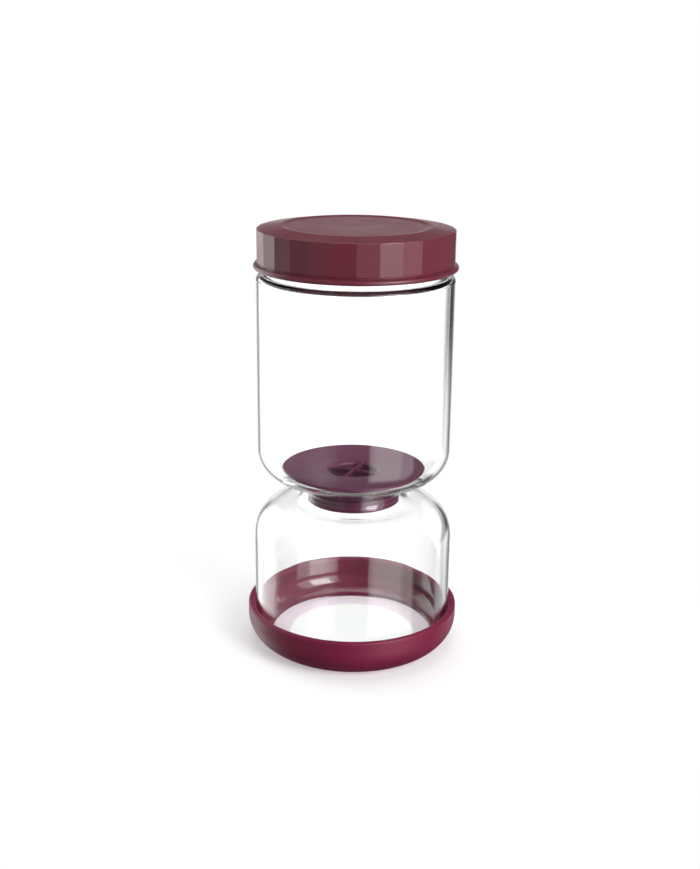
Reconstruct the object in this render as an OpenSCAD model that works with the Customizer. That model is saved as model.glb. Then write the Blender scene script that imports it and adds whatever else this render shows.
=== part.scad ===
// Hourglass pickle keeper: one glass jar with two chambers joined by a waist,
// a silicone strainer plug that lifts out of the waist, a faceted screw lid
// with its gasket, and a silicone boot under the lower chamber.
// The origin is on the table, under the middle of the boot, and +Z is up.

/* [Glass jar] */
// Outer diameter of the upper chamber
upper_d = 100; // [92:1:112]
// Height of the upper chamber, from its outer floor to its shoulder
upper_h = 106.3; // [70:1:140]
// Outer radius where the upper chamber's wall turns into its floor
upper_floor_round = 16; // [8:1:18]
// Outer radius of the small shoulder below the neck
shoulder_round = 2.5; // [1:0.5:4]
// Inner radius under that shoulder
shoulder_inner_round = 1.2; // [0.4:0.2:2]
// Outer diameter of the lower chamber
lower_d = 103.9; // [94:1:116]
// Height of the lower chamber, from its outer floor to its top
lower_h = 76.2; // [56:1:100]
// Outer radius of the lower chamber's domed shoulder
lower_shoulder_round = 18.2; // [10:1:19]
// Outer radius where the lower chamber's wall turns into its floor
lower_floor_round = 12.5; // [8:0.5:15]
// Outer diameter of the waist at its narrowest
waist_d = 52.4; // [47:0.5:58]
// Height of the round groove that forms the waist
waist_gap = 12.7; // [9:0.5:15]
// Thickness of the glass walls
glass_wall = 2.3; // [1.8:0.1:3]
// Thickness of the glass floor
glass_floor = 2.5; // [2:0.1:4]

/* [Neck and thread] */
// How far the neck is set in from the upper chamber's wall
neck_step = 4.5; // [4:0.1:6]
// Height of the neck above the shoulder
neck_h = 19; // [17:0.5:24]
// Thickness of the neck's glass
neck_wall = 2.8; // [2.4:0.1:3.4]
// Radius on the outer edge of the glass rim
rim_round = 1; // [0.4:0.1:1.2]
// Rise of the thread in one turn
thread_pitch = 5; // [4.5:0.1:6]
// Length of each thread in turns
thread_turns = 1; // [0.8:0.05:1.1]
// How far each thread stands out of its wall
thread_h = 1.3; // [1:0.1:1.4]
// Width of each thread at its wall
thread_root_w = 2.2; // [1.8:0.1:2.4]
// Width of each thread at its crest
thread_crest_w = 1; // [0.8:0.1:1.2]
// Height of the start of the glass thread above the shoulder
thread_start_h = 8.4; // [8:0.2:9.4]
// Clearance between the flanks of the two threads
thread_flank_gap = 0.3; // [0.2:0.05:0.4]

/* [Lid] */
// Number of flat facets round the lid
lid_facets = 28; // [20:1:36]
// How far the facet corners lie inside the upper chamber's wall
lid_inset = 0.35; // [0:0.05:1]
// Gap between the glass shoulder and the bottom of the closed lid
lid_shoulder_gap = 3.1; // [2:0.1:4]
// Height of the plain band that carries the bead, below the facets
bead_band_h = 3.5; // [3:0.1:4.5]
// Radius of the round bead at the lid's lower edge
bead_r = 1.2; // [0.8:0.1:1.4]
// How far the bead stands out beyond the facet corners
bead_out = 1.7; // [1:0.1:2]
// Height of the plain groove between the facets and the flare above the bead
bead_groove_h = 0.4; // [0.3:0.1:0.8]
// Angle above the bead's middle at which that flare meets the bead
flare_meet = 40; // [30:1:50]
// How far the plain band is set in from the facet corners
band_step = 0.55; // [0.4:0.05:0.8]
// Clearance between the lid's inner wall and the glass thread
lid_thread_gap = 0.4; // [0.3:0.05:0.5]
// Thickness of the lid's top at its outer edge
lid_edge_t = 1.65; // [1.4:0.05:2.5]
// Thickness of the lid's top inside the gasket
lid_top_t = 2.2; // [1.6:0.1:3]
// Rise of the bevel round the lid's top
bevel_rise = 1.7; // [1.2:0.1:2.4]
// Width of that bevel
bevel_w = 12; // [8:0.5:14]
// Depth of the shallow dish inside the bevel
dish_depth = 0.4; // [0.2:0.1:0.6]
// Width of the slope into the dish
dish_slope_w = 3; // [2:0.5:5]

/* [Gasket] */
// Thickness of the gasket
gasket_t = 1.65; // [1.4:0.05:2]
// How far the gasket reaches inside the glass rim
gasket_in = 0.6; // [0.3:0.1:1]
// Clearance between the gasket and the faces that it seals
gasket_gap = 0.15; // [0.1:0.05:0.2]
// Clearance round the gasket's inner and outer edges
gasket_side_gap = 0.3; // [0.2:0.05:0.4]
// Width of the rib that centres the gasket under the lid
gasket_rib_w = 1.3; // [1:0.1:2]

/* [Strainer] */
// Outer diameter of the strainer's flange
flange_d = 75.2; // [66:1:80]
// Height of the flange's top at its rim above its underside
flange_t = 2.3; // [2:0.1:3]
// Radius on the upper edge of the flange's rim
flange_round = 0.8; // [0.4:0.1:1]
// How much lower the flange's top lies at the drain hole
flange_dish = 1.7; // [0.8:0.1:1.9]
// Diameter of the drain hole
drain_d = 25; // [20:0.5:28]
// Radius on the upper edge of the drain hole
drain_round = 2; // [1:0.2:3]
// How far the plug reaches below the flange
plug_h = 16.5; // [13:0.1:17]
// Clearance between the sealing rings and the glass waist
plug_gap = 0.3; // [0.3:0.05:0.5]
// How far the sealing rings stand out of the plug
seal_out = 0.85; // [0.5:0.05:1]
// Number of sealing rings
seal_n = 4; // [2:1:4]
// Spacing of the sealing rings
seal_step = 2.7; // [2.4:0.1:3.2]
// Height of the lowest sealing ring above the plug's lower end
seal_low_h = 1.05; // [0.9:0.05:1.5]
// How far the plug widens where it joins the flange
plug_flare = 3; // [1:0.5:3.5]
// Height of that flare
plug_flare_h = 4; // [3:0.5:4.5]
// Bevel on the plug's lower edge
plug_bevel = 1; // [0.5:0.1:1.5]
// Width of the two crossing webs in the drain hole
web_w = 1.1; // [0.8:0.1:2]
// Depth of the webs
web_h = 2; // [1.2:0.1:4]
// How far the webs arch up in the middle
web_arch = 0.6; // [0.3:0.1:1]
// How far the webs' ends lie below the flange's dish
web_drop = 0.3; // [0:0.1:1.5]
// Turn of the webs about the vertical
web_turn = -24; // [-90:1:90]
// Clearance between the flange and the glass floor
flange_gap = 0.2; // [0.1:0.05:0.3]

/* [Boot] */
// Thickness of the boot's wall
boot_wall = 3.6; // [3:0.1:4.5]
// Height of the boot
boot_h = 21.2; // [18:0.2:26]
// Outer radius where the boot's wall turns under
boot_round = 16.2; // [14:0.2:17]
// How much of that round is cut away flat as the foot
foot_flat = 1.2; // [0.8:0.1:1.4]
// Thickness of the boot under the glass
foot_t = 2.2; // [1.8:0.1:3]
// How far the boot reaches in under the glass from the glass wall
foot_reach = 8; // [7.5:0.1:9]
// Radius on the outer edge of the boot's lip
lip_outer_round = 1.4; // [0.8:0.1:1.6]
// Radius on the inner edge of the boot's lip
lip_inner_round = 2; // [0.6:0.1:2.1]
// Clearance between the boot and the glass
boot_gap = 0.25; // [0.2:0.05:0.4]

/* [Hidden] */
$fn = 144;

// Overlap of drawn regions that join into one, and reach of cuts past a face
eps = 0.01;
past = 2;
// Turn between two rings of points along a thread, and how much of its length
// fades in at each end, from which share of its height
thread_step = 7.5;
thread_fade = 20;
thread_fade_from = 0.2;
// Depth to which a thread's root is sunk into its wall, and the flare into the bead
thread_sink = 0.4;
flare_sink = 0.12;

upper_r = upper_d / 2;
lower_r = lower_d / 2;
waist_r = waist_d / 2;
waist_round = waist_gap / 2;
neck_r = upper_r - neck_step;
mouth_r = neck_r - neck_wall;

// Heights, from the table up
glass_z = foot_t + boot_gap;
lower_top_z = glass_z + lower_h;
waist_z = lower_top_z + waist_round;
upper_z = lower_top_z + waist_gap;
upper_floor_z = upper_z + glass_wall;
shoulder_z = upper_z + upper_h;
rim_z = shoulder_z + neck_h;
gasket_z = rim_z + gasket_gap;
ceiling_z = gasket_z + gasket_t + gasket_gap;
lid_z = shoulder_z + lid_shoulder_gap;
facet_z = lid_z + bead_band_h;
facet_top_z = ceiling_z + lid_edge_t;
crest_z = facet_top_z + bevel_rise;
dish_z = crest_z - dish_depth;

// Lid sizes
lid_r = upper_r - lid_inset;
lid_inner_r = neck_r + thread_h + lid_thread_gap;
band_r = lid_r - band_step;
bead_centre_r = lid_r + bead_out - bead_r;
crest_r = lid_r - bevel_w;
gasket_inner_r = mouth_r - gasket_in;
gasket_outer_r = lid_inner_r - gasket_side_gap;
gasket_rib_r = gasket_inner_r - gasket_side_gap;

// Thread heights: the lid's thread hangs below the glass thread by the mean of
// their widths at the middle of their common depth, and a flank's clearance
thread_reach = thread_h + thread_sink;
thread_mid = (thread_h - (lid_inner_r - neck_r - thread_h)) / 2;
thread_mid_w = thread_crest_w + (thread_root_w - thread_crest_w) * thread_mid / thread_reach;
glass_thread_z = shoulder_z + thread_start_h;
lid_thread_z = glass_thread_z - thread_mid_w - thread_flank_gap;

// Strainer sizes
drain_r = drain_d / 2;
flange_r = flange_d / 2;
flange_z = upper_floor_z + flange_gap;
flange_rim_z = flange_z + flange_t;
flange_hole_z = flange_rim_z - flange_dish;
drain_edge_z = flange_hole_z - drain_round;
drain_edge_r = drain_r + drain_round;
plug_z = flange_z - plug_h;
seal_r = waist_r - glass_wall - plug_gap;
plug_r = seal_r - seal_out;
web_end_z = flange_hole_z - web_drop;
web_span = drain_r + drain_round / 2;
web_curve_r = (web_span * web_span + web_arch * web_arch) / (2 * web_arch);

// Boot sizes
boot_inner_r = lower_r + boot_gap;
boot_r = boot_inner_r + boot_wall;
boot_open_r = lower_r - foot_reach;
boot_round_z = boot_round - foot_flat;

// What a convex round of radius r takes off a corner. The round's centre is at the
// origin, and side is 1 where the corner is above it and -1 where it is below.
module corner_cut(r, side) {
  mirror([0, side < 0 ? 1 : 0]) difference() {
    square(r + past);
    circle(r);
  }
}

// Half outline of a round slab with its two outer edges rounded
module round_slab(r, z0, z1, lower_round, upper_round) {
  difference() {
    translate([0, z0]) square([r, z1 - z0]);
    translate([r - lower_round, z0 + lower_round]) corner_cut(lower_round, -1);
    translate([r - upper_round, z1 - upper_round]) corner_cut(upper_round, 1);
  }
}

// Half outline of the waist: a post with a half-round groove of radius r
module waist_outline(r) {
  difference() {
    translate([0, waist_z - r]) square([waist_r + waist_round, 2 * r]);
    translate([waist_r + waist_round, waist_z]) circle(r);
  }
}

module glass_outer() {
  round_slab(lower_r, glass_z, lower_top_z, lower_floor_round, lower_shoulder_round);
  waist_outline(waist_round);
  round_slab(upper_r, upper_z, shoulder_z, upper_floor_round, shoulder_round);
  difference() {
    translate([0, shoulder_z - past]) square([neck_r, neck_h + past]);
    translate([neck_r - rim_round, rim_z - rim_round]) corner_cut(rim_round, 1);
  }
}

module glass_inner() {
  round_slab(lower_r - glass_wall, glass_z + glass_floor, lower_top_z - glass_wall,
             lower_floor_round - glass_wall, lower_shoulder_round - glass_wall);
  waist_outline(waist_round + glass_wall);
  round_slab(upper_r - glass_wall, upper_floor_z, shoulder_z - glass_wall,
             upper_floor_round - glass_wall, shoulder_inner_round);
  translate([0, shoulder_z - glass_wall - past]) square([mouth_r, neck_h + glass_wall + 2 * past]);
}

// Share of its full height that a thread has at turn a, of its whole turn
function fade(a, whole) =
  thread_fade_from + (1 - thread_fade_from) * min(1, a / thread_fade, (whole - a) / thread_fade);

// One thread, rising anticlockwise from height z: a ridge of trapezoid section
// between the radii r_in and r_out, with the widths w_in and w_out there.
// The crest, which is the outer side when outward is true, fades in at the ends.
module thread_ridge(z, r_in, r_out, w_in, w_out, outward) {
  whole = 360 * thread_turns;
  n = ceil(whole / thread_step);
  depth = r_out - r_in;
  points = [for (i = [0 : n])
    let (a = whole * i / n,
         h = z + thread_pitch * a / 360,
         inner = outward ? r_in : r_out - depth * fade(a, whole),
         outer = outward ? r_in + depth * fade(a, whole) : r_out)
    each [[inner * cos(a), inner * sin(a), h - w_in / 2],
          [outer * cos(a), outer * sin(a), h - w_out / 2],
          [outer * cos(a), outer * sin(a), h + w_out / 2],
          [inner * cos(a), inner * sin(a), h + w_in / 2]]];
  sides = [for (i = [0 : n - 1], k = [0 : 3])
    let (a = 4 * i + k, b = 4 * i + (k + 1) % 4)
    each [[a, b, a + 4], [b, b + 4, a + 4]]];
  ends = [[0, 2, 1], [0, 3, 2], [4 * n, 4 * n + 1, 4 * n + 2], [4 * n, 4 * n + 2, 4 * n + 3]];
  polyhedron(points, concat(sides, ends));
}

// The jar: one blown piece, with the outer thread on its neck
module glass_jar() {
  color([0.86, 0.92, 0.92, 0.35]) {
    rotate_extrude() difference() {
      glass_outer();
      glass_inner();
    }
    thread_ridge(glass_thread_z, neck_r - thread_sink, neck_r + thread_h,
                 thread_root_w, thread_crest_w, true);
  }
}

// Regular prism with the lid's facets, one edge turned to the front
module facet_prism(r, z, h) {
  translate([0, 0, z]) linear_extrude(h)
    polygon([for (i = [0 : lid_facets - 1]) r * [sin(360 * i / lid_facets), -cos(360 * i / lid_facets)]]);
}

// Half outline of the lid's body: the bevel and the dish over a plain wall
module lid_top_outline() {
  polygon([[0, facet_z - eps], [lid_r, facet_z - eps], [lid_r, facet_top_z], [crest_r, crest_z],
           [crest_r - dish_slope_w, dish_z], [0, dish_z]]);
}

// Half outline of the lid's hollow, with the rib that centres the gasket left standing
module lid_hollow_outline() {
  rib_inner_r = gasket_rib_r - gasket_rib_w;
  translate([0, lid_z - past]) square([lid_inner_r, gasket_z - lid_z + past]);
  translate([gasket_rib_r, gasket_z - past])
    square([lid_inner_r - gasket_rib_r, ceiling_z - gasket_z + past]);
  translate([0, gasket_z - past]) square([rib_inner_r, dish_z - lid_top_t - gasket_z + past]);
}

// Half outline of the lid's lower edge: a plain band, flared out to the bead
module lid_band_outline() {
  groove_z = facet_z - bead_groove_h;
  bead_z = lid_z + bead_r;
  meet_r = bead_r - flare_sink;
  translate([0, lid_z]) square([band_r, bead_band_h]);
  translate([0, lid_z]) square([bead_centre_r, 2 * bead_r]);
  translate([bead_centre_r, bead_z]) circle(bead_r);
  polygon([[0, bead_z], [bead_centre_r, bead_z],
           [bead_centre_r + meet_r * cos(flare_meet), bead_z + meet_r * sin(flare_meet)],
           [band_r, groove_z], [0, groove_z]]);
}

module lid() {
  color([0.45, 0.16, 0.22]) {
    difference() {
      union() {
        intersection() {
          rotate_extrude() lid_top_outline();
          facet_prism(lid_r, facet_z - past, crest_z - facet_z + 2 * past);
        }
        rotate_extrude() lid_band_outline();
      }
      rotate_extrude() lid_hollow_outline();
    }
    thread_ridge(lid_thread_z, lid_inner_r - thread_h, lid_inner_r + thread_sink,
                 thread_crest_w, thread_root_w, false);
  }
}

// Flat ring that seals the glass rim against the lid
module lid_gasket() {
  color([0.88, 0.87, 0.86])
    translate([0, 0, gasket_z]) difference() {
      cylinder(h = gasket_t, r = gasket_outer_r);
      translate([0, 0, -past]) cylinder(h = gasket_t + 2 * past, r = gasket_inner_r);
    }
}

// Half outline of the flange: its underside follows the round of the glass floor
module flange_outline() {
  floor_round = upper_floor_round - glass_wall;
  floor_centre_r = upper_r - upper_floor_round;
  intersection() {
    polygon([[drain_edge_r, flange_z], [flange_r, flange_z], [flange_r, flange_rim_z - flange_round],
             [flange_r - flange_round, flange_rim_z], [flange_r - 2 * flange_round, flange_rim_z],
             [drain_edge_r, flange_hole_z]]);
    union() {
      translate([0, flange_z]) square([floor_centre_r, flange_t]);
      translate([floor_centre_r, upper_floor_z + floor_round]) circle(floor_round - flange_gap);
    }
  }
}

// Half outline of the plug: a thick tube with sealing rings, flared under the flange
module plug_outline() {
  polygon([[drain_r, plug_z], [plug_r - plug_bevel, plug_z], [plug_r, plug_z + plug_bevel],
           [plug_r, flange_z - plug_flare_h], [plug_r + plug_flare, flange_z + eps],
           [drain_edge_r, flange_z + eps], [drain_edge_r, drain_edge_z], [drain_r, drain_edge_z]]);
  for (i = [0 : seal_n - 1])
    translate([plug_r, plug_z + seal_low_h + i * seal_step]) circle(seal_out);
}

// One of the crossing webs, arched along its length
module web() {
  rotate([90, 0, 0]) translate([0, 0, -web_w / 2]) linear_extrude(web_w)
    intersection() {
      translate([-web_span, web_end_z - web_h]) square([2 * web_span, web_h + 2 * web_arch]);
      translate([0, web_end_z + web_arch - web_curve_r]) circle(web_curve_r);
    }
}

module strainer() {
  color([0.50, 0.30, 0.39]) {
    rotate_extrude() {
      flange_outline();
      plug_outline();
      translate([drain_edge_r, drain_edge_z]) circle(drain_round);
    }
    rotate([0, 0, web_turn]) web();
    rotate([0, 0, web_turn + 90]) web();
  }
}

// Half outline of the boot's outside, cut flat at the table
module boot_outer() {
  intersection() {
    round_slab(boot_r, boot_round_z - boot_round, boot_h, boot_round, lip_outer_round);
    square([boot_r + past, boot_h]);
  }
}

// Half outline of the boot's socket: the glass outline and its clearance, flared at the lip
module boot_socket() {
  lip_z = boot_h - lip_inner_round;
  difference() {
    translate([0, foot_t]) square([boot_inner_r, boot_h]);
    translate([lower_r - lower_floor_round, glass_z + lower_floor_round])
      corner_cut(lower_floor_round + boot_gap, -1);
  }
  translate([0, -past]) square([boot_open_r, boot_h]);
  difference() {
    translate([0, lip_z]) square([boot_inner_r + lip_inner_round, lip_inner_round + past]);
    translate([boot_inner_r + lip_inner_round, lip_z]) circle(lip_inner_round);
  }
}

module base_boot() {
  color([0.56, 0.16, 0.30])
    rotate_extrude() difference() {
      boot_outer();
      boot_socket();
    }
}

base_boot();
glass_jar();
strainer();
lid_gasket();
lid();
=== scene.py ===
"""Looks for the hourglass pickle keeper: its glass jar, screw lid, gasket,
strainer and boot, on a white table in soft studio light. Lengths are in metres,
+Z is up and the viewer looks along +Y."""

import math

import bpy
from mathutils import Matrix, Vector


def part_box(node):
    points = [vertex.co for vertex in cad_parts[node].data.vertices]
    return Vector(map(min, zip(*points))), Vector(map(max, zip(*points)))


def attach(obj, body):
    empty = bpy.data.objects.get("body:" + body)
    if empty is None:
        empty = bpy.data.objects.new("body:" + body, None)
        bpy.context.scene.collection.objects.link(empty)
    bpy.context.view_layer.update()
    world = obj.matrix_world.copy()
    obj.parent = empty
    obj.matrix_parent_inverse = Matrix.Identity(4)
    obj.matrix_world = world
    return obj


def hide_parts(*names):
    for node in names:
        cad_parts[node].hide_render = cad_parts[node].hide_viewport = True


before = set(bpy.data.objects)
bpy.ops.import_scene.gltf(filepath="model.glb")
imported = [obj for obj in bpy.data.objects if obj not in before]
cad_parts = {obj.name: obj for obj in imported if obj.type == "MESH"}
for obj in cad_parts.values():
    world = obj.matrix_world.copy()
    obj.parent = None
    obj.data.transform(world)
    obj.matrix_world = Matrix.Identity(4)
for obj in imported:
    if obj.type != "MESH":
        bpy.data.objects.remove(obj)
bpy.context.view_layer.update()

MM = 0.001

# ---------------------------------------------------------------- meshing

AROUND = 256                  # steps round the axis of a turned piece
ROUND_STEP = math.radians(4)  # turn between two points of a rounded corner
HOLD = 0.12 * MM              # how near its ends a straight side is held straight
HOLD_FROM = 12 * HOLD         # shortest side that is held
ON_AXIS = 1e-7                # radius below which a point is on the axis
THREAD_STEP = 0.25 * MM       # height between the points that carry a thread
THREAD_NEAR = 0.01 * MM       # how near a threaded wall its points lie
FACET_NEAR = 0.001 * MM       # how near a facet its points lie
DOME_STEPS = 48
BOOT_STEPS = 24
SEAT_STEPS = 16
BEAD_STEPS = 20
PLUG_STEPS = 60
WEB_STEPS = 40
WEB_ROUND_STEPS = 8

# ---------------------------------------------------------------- sizes

# What the pieces share comes from the frame's own boxes
JAR_LOW, JAR_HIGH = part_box("glass_jar")
LID_LOW, LID_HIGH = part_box("lid")
GASKET_LOW, GASKET_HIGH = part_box("lid_gasket")
STRAINER_LOW, STRAINER_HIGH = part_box("strainer")
BOOT_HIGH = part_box("base_boot")[1]

# Glass jar
LOWER_R = JAR_HIGH[0]
UPPER_R = 50.0 * MM
WAIST_R = 26.2 * MM
NECK_R = 45.5 * MM
MOUTH_R = 42.7 * MM
WALL = 2.3 * MM
GLASS_FLOOR = 2.5 * MM
GLASS_Z = JAR_LOW[2]
LOWER_TOP_Z = GLASS_Z + 76.2 * MM
UPPER_Z = LOWER_TOP_Z + 12.7 * MM
SHOULDER_Z = UPPER_Z + 106.3 * MM
RIM_Z = JAR_HIGH[2]
WAIST_ROUND = (UPPER_Z - LOWER_TOP_Z) / 2
UPPER_FLOOR_ROUND = 16.0 * MM
LOWER_FLOOR_ROUND = 12.5 * MM
LOWER_SHOULDER_ROUND = 18.2 * MM
UPPER_SHOULDER_ROUND = 2.5 * MM
INNER_SHOULDER_ROUND = 0.3 * MM
NECK_FOOT_ROUND = 0.8 * MM
RIM_ROUND = 1.0 * MM
MOUTH_FOOT_ROUND = 1.5 * MM
DOME_RAMP = 10.0 * MM

# Threads
PITCH = 5.0 * MM
THREAD_H = 1.3 * MM
THREAD_ROOT = 2.2 * MM
THREAD_CREST = 1.0 * MM
GLASS_THREAD_Z = SHOULDER_Z + 8.4 * MM
LID_THREAD_Z = GLASS_THREAD_Z - 1.7 * MM
THREAD_FADE = math.radians(24)

# Lid
FACETS = 28
FACET_EDGE = math.radians(0.35)  # half the width of the soft edge between facets
FACET_BLUNT = 0.0004             # share of the radius that the edge loses
FACET_INSIDE_STEPS = 6
LID_R = 49.65 * MM
LID_INNER_R = 47.2 * MM
BAND_R = 49.1 * MM
GROOVE_H = 0.4 * MM
BEAD_R = 1.2 * MM
BEAD_FROM = 88                   # angle at which the flare meets the bead
LID_Z = LID_LOW[2]
LID_TOP_Z = LID_HIGH[2]
FACET_Z = LID_Z + 3.5 * MM
FACET_TOP_Z = LID_TOP_Z - 1.7 * MM
FACET_TOP_ROUND = 0.5 * MM
FACET_FOOT_ROUND = 0.3 * MM
GROOVE_ROUNDS = 0.2 * MM, 0.15 * MM
CREST_R = LID_R - 12.0 * MM
CREST_HALF = 0.5 * MM
CREST_ROUND = 1.5 * MM
DISH_DEPTH = 0.4 * MM
DISH_SIDE = 3.0 * MM
DISH_ROUND = 6.0 * MM
CEILING_DROP = 3.4 * MM
CEILING_ROUND = 0.4 * MM
SKIRT_ROUND = 0.5 * MM
TOP_WALL = 2.2 * MM
RIB_R = MOUTH_R - 0.9 * MM
RIB_W = 1.3 * MM
RIB_ROUND = 0.3 * MM
RIB_FOOT_ROUND = 0.6 * MM

# Gasket
GASKET_INNER_R = MOUTH_R - 0.6 * MM
GASKET_ROUND = 0.35 * MM

# Strainer
FLANGE_R = STRAINER_HIGH[0]
FLANGE_TOP_Z = STRAINER_HIGH[2]
FLANGE_Z = UPPER_Z + WALL + 0.2 * MM
FLANGE_HOLE_Z = FLANGE_TOP_Z - 1.7 * MM
FLANGE_SWEEP = 0.65 * MM
FLANGE_BEND = 6.0 * MM
FLANGE_ROUNDS = 0.45 * MM, 0.9 * MM
DRAIN_R = 12.5 * MM
DRAIN_TOP_ROUND = 2.2 * MM
DRAIN_FOOT_ROUND = 0.8 * MM
PLUG_R = 22.75 * MM
PLUG_Z = STRAINER_LOW[2]
PLUG_EDGE = 0.8 * MM
PLUG_EDGE_ROUND = 0.5 * MM
PLUG_EDGE_H = 0.25 * MM
PLUG_FLARE = 3.0 * MM
PLUG_FLARE_H = 4.0 * MM
PLUG_FLARE_ROUND = 1.2 * MM
SEALS = 4
SEAL_OUT = 0.85 * MM
SEAL_STEP = 2.7 * MM
SEAL_LOW_Z = PLUG_Z + 1.05 * MM
WEB_W = 1.1 * MM
WEB_H = 2.0 * MM
WEB_ARCH = 0.6 * MM
WEB_SINK = 0.3 * MM
WEB_ROOT = 1.0 * MM
WEB_TURN = math.radians(-24)

# Boot
BOOT_R = BOOT_HIGH[0]
BOOT_H = BOOT_HIGH[2]
BOOT_GAP = 0.25 * MM
BOOT_INNER_R = LOWER_R + BOOT_GAP
BOOT_ROUND = 16.2 * MM
BOOT_ROUND_Z = BOOT_ROUND - 1.2 * MM
BOOT_OPEN_R = LOWER_R - 8.0 * MM
BOOT_LIP_ROUNDS = 1.4 * MM, 2.0 * MM
BOOT_OPEN_ROUND = 0.4 * MM

# ---------------------------------------------------------------- looks

MAROON = (0.130, 0.019, 0.035)
PLUM = (0.110, 0.014, 0.052)
RASPBERRY = (0.190, 0.010, 0.046)
MILKY = (0.72, 0.70, 0.69)
MOTTLE = 0.06                 # how far a moulded colour drifts, as a share
DRIFT_SCALE = 35              # and how finely
PATCH_SCALE = 60              # how fine the rubbed and matt patches are
RUBBED, MATT = -0.04, 0.05    # and what they add to the roughness
GRAIN_STRENGTH = 0.5
NOISE_LOW, NOISE_HIGH = 0.3, 0.7

GLASS_IOR = 1.47
GLASS_TINT = (0.985, 0.995, 0.99)
GLASS_SHADE = (0.93, 0.94, 0.94)
GLASS_HAZE = 0.0, 0.012
WAVE_DEPTH = 0.05 * MM
WAVE_STRENGTH = 0.25
# Painted shade: glass seen edge on is greyed, standing in for the dark surroundings
# its edges would show
EDGE_GREY = (0.30, 0.30, 0.33)
EDGE_FROM = 0.68, 0.76        # how far the glass turns from view as its edge greys
EDGE_TO = 0.90, 0.82          # and as it clears again
EDGE_UPRIGHT = 0.45, 0.05     # how far it faces up where the grey begins and is full
EDGE_DOME = 0.070, 0.088      # heights between which the edge stays clear
EDGE_DOME_FADE = 6.0 * MM

# Table
FLOOR_R = 0.6
FLOOR_SIDES = 96
FLOOR_FADE = 0.10, 0.22       # where the table turns from lit to plain white
FLOOR_CLEAR = 0.0345, 0.0325  # and where it is white again under the glass floor
FLOOR_GLOW = 0.35
FLOOR_LIGHT = 0.26            # what the table throws up on the object
FLOOR_PAINT = (0.80, 0.80, 0.80)
FLOOR_ROUGHNESS = 0.7
FLOOR_SPECULAR = 0.2
# Painted bounce light and shade from the boot, on the table just inside it
RING_PAINT = (0.80, 0.64, 0.74)
RING = 41 * MM, 7 * MM, 2 * MM  # middle, half width and fade of the ring of painted bounce light and shade

# Studio
THROUGH_GLASS = 1.25          # strength of the plain white, seen through glass
ROOM = 0.10
# Panels of light: azimuth from the far side towards the right, half width and soft
# edge, then lowest and highest elevation and their soft edge, all in degrees, and
# the strength
PANELS = [
    (0, 14, 10, -35, 2, 12, 0.80),       # backdrop
    (46, 14, 8, -32, -17, 5, 0.9),       # right rear
    (133, 27, 3, -35, 42, 12, 1.40),     # right key
    (139, 14, 8, -35, 42, 12, 1.10),     # its bright middle
    (-120, 38, 3, -35, 35, 12, 0.26),    # left front
    (-53, 18, 14, -35, 35, 12, 1.9),     # left rear
]

# The photograph's camera: where it stands, how it tilts and its slight roll
PHOTO_HEIGHT = 869            # pixels along the longer side
FOCAL_PIXELS = 1255.04
SENSOR = 36.0
CAMERA_PLACE = Vector((-2.05, -623.14, 309.2)) * MM
CAMERA_TILT = math.radians(90 - 17.455)
CAMERA_ROLL = math.radians(0.645)

# ---------------------------------------------------------------- outlines


def rounded(corners, closed=False):
    """Points along an outline of (r, z) or (r, z, radius) corners, with each
    radius drawn as an arc that is tangent to both of its sides."""
    points = []
    count = len(corners)
    for i, corner in enumerate(corners):
        here = Vector(corner[:2])
        radius = corner[2] if len(corner) > 2 else 0
        inside = closed or 0 < i < count - 1
        if not radius or not inside:
            points.append(here)
            continue
        before = (Vector(corners[i - 1][:2]) - here).normalized()
        after = (Vector(corners[(i + 1) % count][:2]) - here).normalized()
        half = before.angle(after) / 2
        centre = here + (before + after).normalized() * radius / math.sin(half)
        start = here + before * radius / math.tan(half) - centre
        turn = math.pi - 2 * half
        side = math.copysign(1, start.cross(here - centre))
        steps = max(2, math.ceil(turn / ROUND_STEP))
        for k in range(steps + 1):
            swing = Matrix.Rotation(side * turn * k / steps, 2)
            points.append(centre + swing @ start)
    return points


def arc(centre, radius, first, last, steps):
    """(r, z) points on an arc between two angles in degrees."""
    points = []
    for k in range(steps + 1):
        angle = math.radians(first + (last - first) * k / steps)
        points.append((centre[0] + radius * math.cos(angle),
                       centre[1] + radius * math.sin(angle)))
    return points


def dome(corner, radius):
    """Points from a straight wall up and over to a level top. The bend starts
    softly, over the length of a ramp, so that the glass shows no step there."""
    ramp = DOME_RAMP
    bend = radius - ramp ** 2 / (24 * radius)
    length = bend * math.pi / 2 + ramp / 2
    step = length / DOME_STEPS
    path = [Vector((0, 0))]
    for k in range(DOME_STEPS):
        along = (k + 0.5) * step
        if along < ramp:
            turn = along ** 2 / (2 * ramp * bend)
        else:
            turn = (along - ramp / 2) / bend
        path.append(path[-1] + Vector((-math.sin(turn), math.cos(turn))) * step)
    shift = Vector((corner[0] - radius, corner[1])) - path[-1]
    return [tuple(point + shift) for point in path]


def held(points):
    """The same points, with two more near the ends of each long straight side, so
    that the shading of the corners doesn't spread along it."""
    result = [points[0]]
    for a, b in zip(points, points[1:]):
        side = b - a
        if side.length > HOLD_FROM:
            result += [a + side.normalized() * HOLD, b - side.normalized() * HOLD]
        result.append(b)
    return result


def subdivided(points, low, high):
    """The same points, with the sides that lie between two heights cut into steps
    that are short enough to carry a thread."""
    result = [points[0]]
    for a, b in zip(points, points[1:]):
        if min(a.y, b.y) >= low and max(a.y, b.y) <= high:
            pieces = max(1, math.ceil((b - a).length / THREAD_STEP))
            result += [a.lerp(b, k / pieces) for k in range(1, pieces)]
        result.append(b)
    return result


# ---------------------------------------------------------------- meshes


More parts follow.
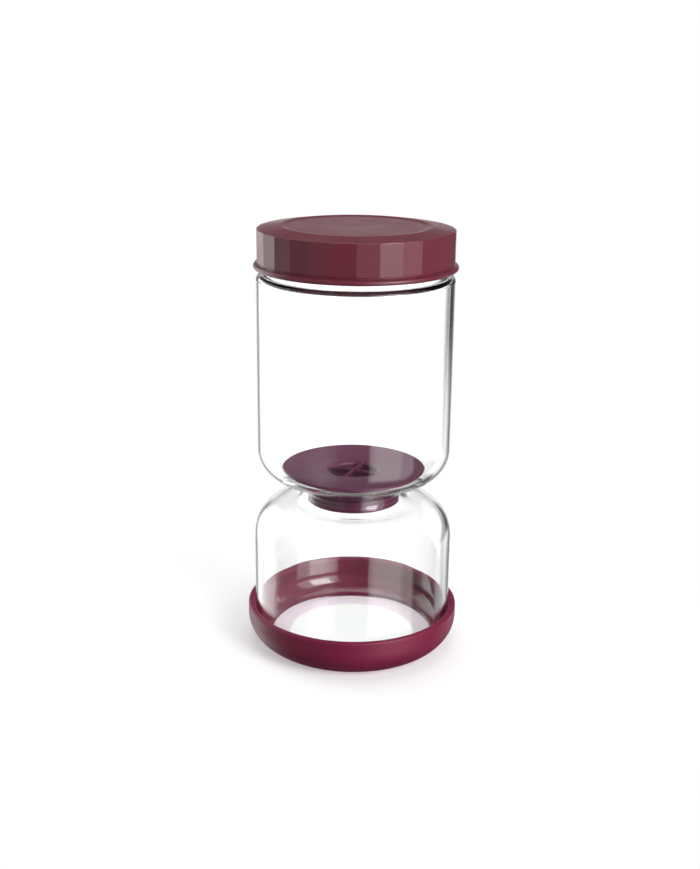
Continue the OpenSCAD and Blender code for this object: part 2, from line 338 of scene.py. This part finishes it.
def new_piece(name, verts, faces, material, body, flat=()):
    """A smooth mesh object that rides on a body; the faces in flat stay flat."""
    mesh = bpy.data.meshes.new(name)
    mesh.from_pydata(verts, [], faces)
    mesh.validate()
    flat = set(flat)
    for face in mesh.polygons:
        face.use_smooth = face.index not in flat
    piece = bpy.data.objects.new(name, mesh)
    bpy.context.collection.objects.link(piece)
    mesh.materials.append(material)
    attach(piece, body)
    return piece


def turned(points, angles, radius=None, closed=False):
    """Vertices and faces of an outline turned about the Z axis. radius(point,
    index, angle) gives a point's distance from the axis, where it isn't round.
    A point on the axis is one vertex."""
    verts, rings, faces = [], [], []
    for i, point in enumerate(points):
        if point.x < ON_AXIS:
            rings.append([len(verts)] * len(angles))
            verts.append((0, 0, point.y))
            continue
        rings.append(range(len(verts), len(verts) + len(angles)))
        for angle in angles:
            r = radius(point, i, angle) if radius else point.x
            verts.append((r * math.sin(angle), -r * math.cos(angle), point.y))
    pairs = list(zip(rings, rings[1:]))
    if closed:
        pairs.append((rings[-1], rings[0]))
    for low, high in pairs:
        for k in range(len(angles)):
            n = (k + 1) % len(angles)
            corners = [low[k], low[n], high[n], high[k]]
            faces.append(tuple(dict.fromkeys(corners)))
    return verts, faces


def evenly(count):
    """Angles that share a full turn evenly."""
    return [2 * math.pi * k / count for k in range(count)]


def thread_height(z, angle, start_z):
    """How far a one-turn thread stands out at a height and an angle: a smooth
    trapezoid about its helix, fading in at both ends."""
    turn = (angle - math.pi / 2) % (2 * math.pi)
    off = abs(z - start_z - PITCH * turn / (2 * math.pi))
    share = (THREAD_ROOT / 2 - off) / ((THREAD_ROOT - THREAD_CREST) / 2)
    ends = min(turn, 2 * math.pi - turn) / THREAD_FADE
    return THREAD_H * smooth(share) * smooth(ends)


def smooth(x):
    """A smooth step from 0 to 1."""
    x = min(1, max(0, x))
    return x * x * (3 - 2 * x)


# ---------------------------------------------------------------- nodes


def node_material(name):
    material = bpy.data.materials.new(name)
    material.use_nodes = True
    nodes = material.node_tree.nodes
    return material, nodes, material.node_tree.links, nodes["Principled BSDF"]


def calc(nodes, links, operation, *values):
    """What a Math node makes of its values, each of them a socket or a number."""
    node = nodes.new("ShaderNodeMath")
    node.operation = operation
    for socket, value in zip(node.inputs, values):
        if isinstance(value, (int, float)):
            socket.default_value = value
        else:
            links.new(value, socket)
    return node.outputs["Value"]


def stepped(nodes, links, source, start, end):
    """A smooth step from 0 to 1 as a value goes from start to end."""
    node = nodes.new("ShaderNodeMapRange")
    node.interpolation_type = "SMOOTHSTEP"
    node.inputs["From Min"].default_value = start
    node.inputs["From Max"].default_value = end
    links.new(source, node.inputs["Value"])
    return node.outputs["Result"]


def window(nodes, links, source, middle, half, soft):
    """1 where a value is within half of a middle one, fading to 0 over soft."""
    off = calc(nodes, links, "SUBTRACT", source, middle)
    size = calc(nodes, links, "ABSOLUTE", off)
    return stepped(nodes, links, size, half + soft, half)


def blended(nodes, links, share, low, high):
    """A colour that goes from low to high as share goes from 0 to 1."""
    node = nodes.new("ShaderNodeMix")
    node.data_type = "RGBA"
    node.inputs["A"].default_value = (*low, 1)
    node.inputs["B"].default_value = (*high, 1)
    links.new(share, node.inputs["Factor"])
    return node.outputs["Result"]


def mixed(nodes, links, share, low, high):
    """A shader that goes from low to high as share goes from 0 to 1."""
    node = nodes.new("ShaderNodeMixShader")
    links.new(share, node.inputs["Fac"])
    links.new(low, node.inputs[1])
    links.new(high, node.inputs[2])
    return node.outputs["Shader"]


def glowing(nodes, strength):
    """A white glow of one strength."""
    node = nodes.new("ShaderNodeEmission")
    node.inputs["Strength"].default_value = strength
    return node.outputs["Emission"]


def object_place(nodes):
    """The piece's own place in the frame, in metres."""
    return nodes.new("ShaderNodeTexCoord").outputs["Object"]


def height_of(nodes, links, vector):
    """How far a vector goes up."""
    node = nodes.new("ShaderNodeSeparateXYZ")
    links.new(vector, node.inputs["Vector"])
    return node.outputs["Z"]


def noise(nodes, links, scale, detail):
    """A noise over the piece's own place."""
    texture = nodes.new("ShaderNodeTexNoise")
    texture.inputs["Scale"].default_value = scale
    texture.inputs["Detail"].default_value = detail
    links.new(object_place(nodes), texture.inputs["Vector"])
    return texture.outputs["Fac"]


def ranged(nodes, links, source, low, high):
    """A noise stretched to run between two values."""
    node = nodes.new("ShaderNodeMapRange")
    node.inputs["From Min"].default_value = NOISE_LOW
    node.inputs["From Max"].default_value = NOISE_HIGH
    node.inputs["To Min"].default_value = low
    node.inputs["To Max"].default_value = high
    links.new(source, node.inputs["Value"])
    return node.outputs["Result"]


def bumped(nodes, links, shader, source, strength, depth):
    """Raises a shader's surface by a noise."""
    bump = nodes.new("ShaderNodeBump")
    bump.inputs["Strength"].default_value = strength
    bump.inputs["Distance"].default_value = depth
    links.new(source, bump.inputs["Height"])
    links.new(bump.outputs["Normal"], shader.inputs["Normal"])


# ---------------------------------------------------------------- materials


def moulded(name, colour, roughness, grain_scale, grain_depth, specular=0.5):
    """Moulded plastic or silicone: a base colour that drifts a little, a fine
    grain, and a roughness that varies between rubbed and matt patches."""
    material, nodes, links, shader = node_material(name)
    drift = ranged(nodes, links, noise(nodes, links, DRIFT_SCALE, 3), 0, 1)
    dark = [c * (1 - MOTTLE) for c in colour]
    light = [c * (1 + MOTTLE) for c in colour]
    links.new(blended(nodes, links, drift, dark, light), shader.inputs["Base Color"])
    patches = ranged(nodes, links, noise(nodes, links, PATCH_SCALE, 5),
                     roughness + RUBBED, roughness + MATT)
    links.new(patches, shader.inputs["Roughness"])
    shader.inputs["Specular IOR Level"].default_value = specular
    grain = noise(nodes, links, grain_scale, 4)
    bumped(nodes, links, shader, grain, GRAIN_STRENGTH, grain_depth)
    return material


def clear_glass():
    """Blown glass: clear, with a very faint waviness, and a painted grey shade where
    it is seen edge on and doesn't face up, standing in for the dark surroundings its
    edges would show. Lamps reach what is behind it straight through."""
    material, nodes, links, shader = node_material("clear_glass")
    # The base colour carries the painted shade on the glass's edges
    links.new(edge_grey(nodes, links), shader.inputs["Base Color"])
    shader.inputs["Transmission Weight"].default_value = 1
    shader.inputs["IOR"].default_value = GLASS_IOR
    haze = ranged(nodes, links, noise(nodes, links, 25, 2), *GLASS_HAZE)
    links.new(haze, shader.inputs["Roughness"])
    bumped(nodes, links, shader, noise(nodes, links, 22, 1), WAVE_STRENGTH, WAVE_DEPTH)
    clear = nodes.new("ShaderNodeBsdfTransparent")
    clear.inputs["Color"].default_value = (*GLASS_SHADE, 1)
    path = nodes.new("ShaderNodeLightPath")
    surface = mixed(nodes, links, path.outputs["Is Shadow Ray"],
                    shader.outputs["BSDF"], clear.outputs["BSDF"])
    links.new(surface, nodes["Material Output"].inputs["Surface"])
    return material


def edge_grey(nodes, links):
    """Painted shade: a tint that turns from clear to grey where upright glass is seen
    edge on, standing in for the dark surroundings seen there, but not on the dome of
    the lower chamber."""
    facing = nodes.new("ShaderNodeLayerWeight").outputs["Facing"]
    edge = calc(nodes, links, "MULTIPLY",
                stepped(nodes, links, facing, *EDGE_FROM),
                stepped(nodes, links, facing, *EDGE_TO))
    normal = nodes.new("ShaderNodeNewGeometry").outputs["Normal"]
    upright = stepped(nodes, links, height_of(nodes, links, normal), *EDGE_UPRIGHT)
    low, high = EDGE_DOME
    on_dome = window(nodes, links, height_of(nodes, links, object_place(nodes)),
                     (low + high) / 2, (high - low) / 2, EDGE_DOME_FADE)
    off_dome = calc(nodes, links, "SUBTRACT", 1, on_dome)
    wall = calc(nodes, links, "MULTIPLY", upright, off_dome)
    share = calc(nodes, links, "MULTIPLY", edge, wall)
    return blended(nodes, links, share, GLASS_TINT, EDGE_GREY)


def bounced(nodes, links):
    """1 for rays that a surface has thrown back, 0 for those that come from the
    camera in a straight line or only through glass."""
    path = nodes.new("ShaderNodeLightPath")
    depth = calc(nodes, links, "ADD",
                 path.outputs["Diffuse Depth"], path.outputs["Glossy Depth"])
    return calc(nodes, links, "GREATER_THAN", depth, 0.5)


def white_strength(nodes, links):
    """1, and a little more through glass, to make up for what the glass takes."""
    path = nodes.new("ShaderNodeLightPath")
    return calc(nodes, links, "MULTIPLY_ADD",
                path.outputs["Is Transmission Ray"], THROUGH_GLASS - 1, 1)


# ---------------------------------------------------------------- pieces


def make_jar():
    """The jar, blown in one piece, with the thread raised on its neck."""
    ceiling_z = SHOULDER_Z - WALL
    lower_ceiling_z = LOWER_TOP_Z - WALL
    upper_floor_z = UPPER_Z + WALL
    lower_floor_z = GLASS_Z + GLASS_FLOOR
    inner_round = WAIST_ROUND + WALL
    outer_dome = dome((LOWER_R, LOWER_TOP_Z), LOWER_SHOULDER_ROUND)
    inner_dome = dome((LOWER_R - WALL, lower_ceiling_z), LOWER_SHOULDER_ROUND - WALL)
    outline = rounded([
        (0, GLASS_Z),
        (LOWER_R, GLASS_Z, LOWER_FLOOR_ROUND),
        *outer_dome,
        (WAIST_R, LOWER_TOP_Z, WAIST_ROUND),
        (WAIST_R, UPPER_Z, WAIST_ROUND),
        (UPPER_R, UPPER_Z, UPPER_FLOOR_ROUND),
        (UPPER_R, SHOULDER_Z, UPPER_SHOULDER_ROUND),
        (NECK_R, SHOULDER_Z, NECK_FOOT_ROUND),
        (NECK_R, RIM_Z, RIM_ROUND),
        (MOUTH_R, RIM_Z, RIM_ROUND),
        (MOUTH_R, ceiling_z, MOUTH_FOOT_ROUND),
        (UPPER_R - WALL, ceiling_z, INNER_SHOULDER_ROUND),
        (UPPER_R - WALL, upper_floor_z, UPPER_FLOOR_ROUND - WALL),
        (WAIST_R - WALL, upper_floor_z, inner_round),
        (WAIST_R - WALL, lower_ceiling_z, inner_round),
        *inner_dome[::-1],
        (LOWER_R - WALL, lower_floor_z, LOWER_FLOOR_ROUND - WALL),
        (0, lower_floor_z),
    ])
    points = subdivided(held(outline), SHOULDER_Z, RIM_Z)

    def radius(point, _index, angle):
        if abs(point.x - NECK_R) < THREAD_NEAR and point.y > SHOULDER_Z:
            return point.x + thread_height(point.y, angle, GLASS_THREAD_Z)
        return point.x

    verts, faces = turned(points, evenly(AROUND), radius)
    jar = new_piece("jar_glass", verts, faces, clear_glass(),
                    "glass_jar")
    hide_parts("glass_jar")


def facet_angles():
    """Angles round the lid: close pairs at each facet edge, and a few between."""
    width = 2 * math.pi / FACETS
    inside = [width * k / FACET_INSIDE_STEPS for k in range(1, FACET_INSIDE_STEPS)]
    facet = [0, FACET_EDGE, *inside, width - FACET_EDGE]
    return [width * i + angle for i in range(FACETS) for angle in facet]


def facet_share(angle):
    """A facet's distance from the axis at an angle, as a share of its corners'."""
    width = 2 * math.pi / FACETS
    from_middle = angle % width - width / 2
    flat = math.cos(width / 2) / math.cos(from_middle)
    return min(flat, 1 - FACET_BLUNT)


def lid_outer(bead_start):
    """The lid's outline from the middle of its top down to its bead."""
    dish_z = LID_TOP_Z - DISH_DEPTH
    return held(rounded([
        (0, dish_z),
        (CREST_R - DISH_SIDE, dish_z, DISH_ROUND),
        (CREST_R - CREST_HALF, LID_TOP_Z, CREST_ROUND),
        (CREST_R + CREST_HALF, LID_TOP_Z, CREST_ROUND),
        (LID_R, FACET_TOP_Z, FACET_TOP_ROUND),
        (LID_R, FACET_Z, FACET_FOOT_ROUND),
        (BAND_R, FACET_Z, GROOVE_ROUNDS[0]),
        (BAND_R, FACET_Z - GROOVE_H, GROOVE_ROUNDS[1]),
        bead_start,
    ]))


def lid_inner(bead_end):
    """The lid's outline from under its bead up to the middle of its inside."""
    ceiling_z = LID_TOP_Z - CEILING_DROP
    recess_z = LID_TOP_Z - DISH_DEPTH - TOP_WALL
    rib_z = GASKET_LOW[2]
    outline = rounded([
        bead_end,
        (LID_INNER_R, LID_Z, SKIRT_ROUND),
        (LID_INNER_R, ceiling_z, CEILING_ROUND),
        (RIB_R, ceiling_z),
        (RIB_R, rib_z, RIB_ROUND),
        (RIB_R - RIB_W, rib_z, RIB_ROUND),
        (RIB_R - RIB_W, recess_z, RIB_FOOT_ROUND),
        (0, recess_z),
    ])
    return subdivided(held(outline[1:]), FACET_Z, ceiling_z)


def make_lid():
    """The screw lid: flat facets under a bevelled, dished top, and a bead."""
    bead_centre = (LID_HIGH[0] - BEAD_R, LID_Z + BEAD_R)
    bead = arc(bead_centre, BEAD_R, BEAD_FROM, -90, BEAD_STEPS)
    outer = lid_outer(bead[0])
    inner = lid_inner((bead_centre[0], LID_Z))
    points = outer + [Vector(point) for point in bead[1:]] + inner

    def radius(point, index, angle):
        if index >= len(outer):
            in_wall = abs(point.x - LID_INNER_R) < THREAD_NEAR
            raised = thread_height(point.y, angle, LID_THREAD_Z) if in_wall else 0
            return point.x - raised
        if point.y < FACET_TOP_Z:
            share = smooth((point.x - BAND_R) / (LID_R - BAND_R))
        else:
            share = min(1, max(0, (point.x - CREST_R) / (LID_R - CREST_R)))
        return point.x * (1 + share * (facet_share(angle) - 1))

    angles = facet_angles()
    verts, faces = turned(points, angles, radius)
    on_facet = [abs(point.x - LID_R) < FACET_NEAR for point in outer]
    per_facet = len(angles) // FACETS
    flat = [i * len(angles) + k
            for i in range(len(outer) - 1) if on_facet[i] and on_facet[i + 1]
            for k in range(len(angles)) if k % per_facet not in (0, per_facet - 1)]
    plastic = moulded("maroon_plastic", MAROON, 0.30, 2600, 0.01 * MM)
    lid = new_piece("lid_shell", verts, faces, plastic, "lid", flat)
    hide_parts("lid")


def make_gasket():
    """The flat seal under the lid, with soft edges."""
    low, high = GASKET_LOW[2], GASKET_HIGH[2]
    outer_r = GASKET_HIGH[0]
    outline = rounded([
        (GASKET_INNER_R, low, GASKET_ROUND),
        (outer_r, low, GASKET_ROUND),
        (outer_r, high, GASKET_ROUND),
        (GASKET_INNER_R, high, GASKET_ROUND),
    ], closed=True)
    verts, faces = turned(outline, evenly(AROUND), closed=True)
    silicone = moulded("clear_silicone", MILKY, 0.42, 1800, 0.03 * MM)
    gasket = new_piece("lid_seal", verts, faces, silicone,
                       "lid_gasket")
    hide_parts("lid_gasket")


def plug_side(z):
    """The plug's radius at a height: a straight side with its sealing rings."""
    out = 0
    for k in range(SEALS):
        off = abs(z - SEAL_LOW_Z - k * SEAL_STEP)
        out = max(out, math.sqrt(max(0, SEAL_OUT ** 2 - off ** 2)))
    return PLUG_R + out


def make_strainer():
    """The strainer: a dished flange and a ringed plug, turned as one, with two
    arched webs crossing the drain hole."""
    low = PLUG_Z + PLUG_EDGE_H
    rise = FLANGE_Z - PLUG_FLARE_H - low
    heights = [low + rise * k / PLUG_STEPS for k in range(PLUG_STEPS + 1)]
    outline = rounded([
        (DRAIN_R, PLUG_Z, DRAIN_FOOT_ROUND),
        (PLUG_R - PLUG_EDGE, PLUG_Z, PLUG_EDGE_ROUND),
        *[(plug_side(z), z) for z in heights],
        (PLUG_R + PLUG_FLARE, FLANGE_Z, PLUG_FLARE_ROUND),
        (UPPER_R - UPPER_FLOOR_ROUND, FLANGE_Z, FLANGE_BEND),
        (FLANGE_R, FLANGE_Z + FLANGE_SWEEP, FLANGE_ROUNDS[0]),
        (FLANGE_R, FLANGE_TOP_Z, FLANGE_ROUNDS[1]),
        (DRAIN_R, FLANGE_HOLE_Z, DRAIN_TOP_ROUND),
    ], closed=True)
    verts, faces = turned(outline, evenly(AROUND), closed=True)
    for turn in (WEB_TURN, WEB_TURN + math.pi / 2):
        more_verts, more_faces = web(turn)
        faces += [tuple(i + len(verts) for i in face) for face in more_faces]
        verts += more_verts
    silicone = moulded("plum_silicone", PLUM, 0.42, 1500, 0.04 * MM)
    strainer = new_piece("strainer_silicone", verts, faces, silicone,
                         "strainer")
    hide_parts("strainer")


def web(turn):
    """One web: a round-topped rib, arched along its length, ends in the wall."""
    span = DRAIN_R + WEB_ROOT
    end_z = FLANGE_HOLE_Z - WEB_SINK
    half = WEB_W / 2
    section = arc((0, 0), half, 0, 180, WEB_ROUND_STEPS)
    section = [(half, -WEB_H), *section, (-half, -WEB_H)]
    verts, faces = [], []
    for k in range(WEB_STEPS + 1):
        along = span * (2 * k / WEB_STEPS - 1)
        crest = end_z - half + WEB_ARCH * (1 - (along / span) ** 2)
        for across, up in section:
            verts.append((along * math.cos(turn) - across * math.sin(turn),
                          along * math.sin(turn) + across * math.cos(turn),
                          crest + up))
    count = len(section)
    for k in range(WEB_STEPS):
        here, there = k * count, (k + 1) * count
        for j in range(count):
            n = (j + 1) % count
            faces.append((here + j, here + n, there + n, there + j))
    faces.append(tuple(range(count))[::-1])
    faces.append(tuple(WEB_STEPS * count + j for j in range(count)))
    return verts, faces


def make_boot():
    """The boot: a soft ring that turns in under the glass, with a rounded lip."""
    centre = (BOOT_R - BOOT_ROUND, BOOT_ROUND_Z)
    foot_angle = -math.degrees(math.asin(BOOT_ROUND_Z / BOOT_ROUND))
    seat_centre = (LOWER_R - LOWER_FLOOR_ROUND, GLASS_Z + LOWER_FLOOR_ROUND)
    seat_round = LOWER_FLOOR_ROUND + BOOT_GAP
    seat_angle = -math.degrees(math.acos((BOOT_OPEN_R - seat_centre[0]) / seat_round))
    seat = arc(seat_centre, seat_round, 0, seat_angle, SEAT_STEPS)
    outline = rounded([
        (BOOT_OPEN_R, 0, BOOT_OPEN_ROUND),
        *arc(centre, BOOT_ROUND, foot_angle, 0, BOOT_STEPS),
        (BOOT_R, BOOT_H, BOOT_LIP_ROUNDS[0]),
        (BOOT_INNER_R, BOOT_H, BOOT_LIP_ROUNDS[1]),
        *seat[:-1],
        (*seat[-1], BOOT_OPEN_ROUND),
    ], closed=True)
    verts, faces = turned(outline, evenly(AROUND), closed=True)
    silicone = moulded("raspberry_silicone", RASPBERRY, 0.46, 1500, 0.04 * MM,
                       specular=0.36)
    boot = new_piece("boot_silicone", verts, faces, silicone,
                     "base_boot")
    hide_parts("base_boot")


# ---------------------------------------------------------------- studio


def make_floor():
    """A round white table that shows as white and keeps the object's shadow."""
    floor = bpy.data.objects.new("floor", bpy.data.meshes.new("floor"))
    corners = [(FLOOR_R * math.cos(a), FLOOR_R * math.sin(a), 0)
               for a in evenly(FLOOR_SIDES)]
    floor.data.from_pydata(corners, [], [tuple(range(FLOOR_SIDES))])
    bpy.context.collection.objects.link(floor)
    material, nodes, links, shader = node_material("white_floor")
    length = nodes.new("ShaderNodeVectorMath")
    length.operation = "LENGTH"
    links.new(object_place(nodes), length.inputs[0])
    away = length.outputs["Value"]
    surface = mixed(nodes, links, bounced(nodes, links),
                    seen_table(nodes, links, shader, away),
                    thrown_up(nodes, links))
    links.new(surface, nodes["Material Output"].inputs["Surface"])
    floor.data.materials.append(material)


def seen_table(nodes, links, shader, away):
    """The table as the camera sees it: lit near the object, plain white elsewhere."""
    shader.inputs["Roughness"].default_value = FLOOR_ROUGHNESS
    shader.inputs["Specular IOR Level"].default_value = FLOOR_SPECULAR
    # Painted bounce light and shade: the table just inside the boot is painted in the
    # boot's own colour, pinker and darker, standing in for the light the boot throws
    # and the shade it casts
    in_ring = window(nodes, links, away, *RING)
    paint = blended(nodes, links, in_ring, FLOOR_PAINT, RING_PAINT)
    links.new(paint, shader.inputs["Base Color"])
    lit = nodes.new("ShaderNodeAddShader")
    links.new(shader.outputs["BSDF"], lit.inputs[0])
    links.new(glowing(nodes, FLOOR_GLOW), lit.inputs[1])
    plain = nodes.new("ShaderNodeEmission")
    links.new(white_strength(nodes, links), plain.inputs["Strength"])
    is_plain = calc(nodes, links, "MAXIMUM",
                    stepped(nodes, links, away, *FLOOR_FADE),
                    stepped(nodes, links, away, *FLOOR_CLEAR))
    return mixed(nodes, links, is_plain,
                 lit.outputs["Shader"], plain.outputs["Emission"])


def thrown_up(nodes, links):
    """The table as other surfaces see it: a scattered ray is thrown up, and a
    mirrored one goes on to the studio's panels."""
    path = nodes.new("ShaderNodeLightPath")
    mirror = nodes.new("ShaderNodeBsdfTransparent")
    return mixed(nodes, links, path.outputs["Is Diffuse Ray"],
                 mirror.outputs["BSDF"], glowing(nodes, FLOOR_LIGHT))


def make_world():
    """The studio round the object: the camera sees plain white, also through the
    glass, and surfaces see a dim room with soft panels of light."""
    world = bpy.data.worlds.new("studio")
    bpy.context.scene.world = world
    world.use_nodes = True
    nodes, links = world.node_tree.nodes, world.node_tree.links
    background = nodes["Background"]
    place = nodes.new("ShaderNodeTexCoord")
    split = nodes.new("ShaderNodeSeparateXYZ")
    links.new(place.outputs["Generated"], split.inputs["Vector"])
    azimuth = calc(nodes, links, "ARCTAN2", split.outputs["X"], split.outputs["Y"])
    light = ROOM
    for middle, half, soft, low, high, fade, value in PANELS:
        across = window(nodes, links, azimuth, math.radians(middle),
                        math.radians(half), math.radians(soft))
        low_sine, high_sine = math.sin(math.radians(low)), math.sin(math.radians(high))
        up = window(nodes, links, split.outputs["Z"], (low_sine + high_sine) / 2,
                    (high_sine - low_sine) / 2, math.radians(fade))
        panel = calc(nodes, links, "MULTIPLY", across, up)
        light = calc(nodes, links, "MULTIPLY_ADD", panel, value, light)
    seen = nodes.new("ShaderNodeMix")
    seen.data_type = "FLOAT"
    links.new(bounced(nodes, links), seen.inputs["Factor"])
    links.new(white_strength(nodes, links), seen.inputs["A"])
    links.new(light, seen.inputs["B"])
    links.new(seen.outputs["Result"], background.inputs["Strength"])
    background.inputs["Color"].default_value = (1, 1, 1, 1)


def softbox(name, place, aim, width, height, power):
    """A rectangular soft lamp that faces a point."""
    lamp = bpy.data.lights.new(name, "AREA")
    lamp.shape = "RECTANGLE"
    lamp.size, lamp.size_y = width, height
    lamp.energy = power
    box = bpy.data.objects.new(name, lamp)
    box.location = place
    facing = (Vector(aim) - Vector(place)).to_track_quat("-Z", "Y")
    box.rotation_euler = facing.to_euler()
    bpy.context.collection.objects.link(box)


def make_lamps():
    softbox("right_softbox", (0.75, -0.75, 0.65), (0, 0, 0.11), 0.5, 0.7, 7)
    softbox("top_softbox", (0.0, 0.3, 1.2), (0, 0, 0.1), 0.9, 0.9, 6.5)


def make_camera():
    camera = bpy.data.objects.new("camera", bpy.data.cameras.new("camera"))
    bpy.context.collection.objects.link(camera)
    camera.data.sensor_width = SENSOR
    camera.data.lens = SENSOR * FOCAL_PIXELS / PHOTO_HEIGHT
    camera.data.clip_start = 0.01
    camera.matrix_world = (Matrix.Translation(CAMERA_PLACE)
                           @ Matrix.Rotation(CAMERA_TILT, 4, "X")
                           @ Matrix.Rotation(CAMERA_ROLL, 4, "Z"))
    bpy.context.scene.camera = camera


make_camera()
make_jar()
make_lid()
make_gasket()
make_strainer()
make_boot()
make_floor()
make_world()
make_lamps()
bpy.context.scene.view_settings.view_transform = "Standard"
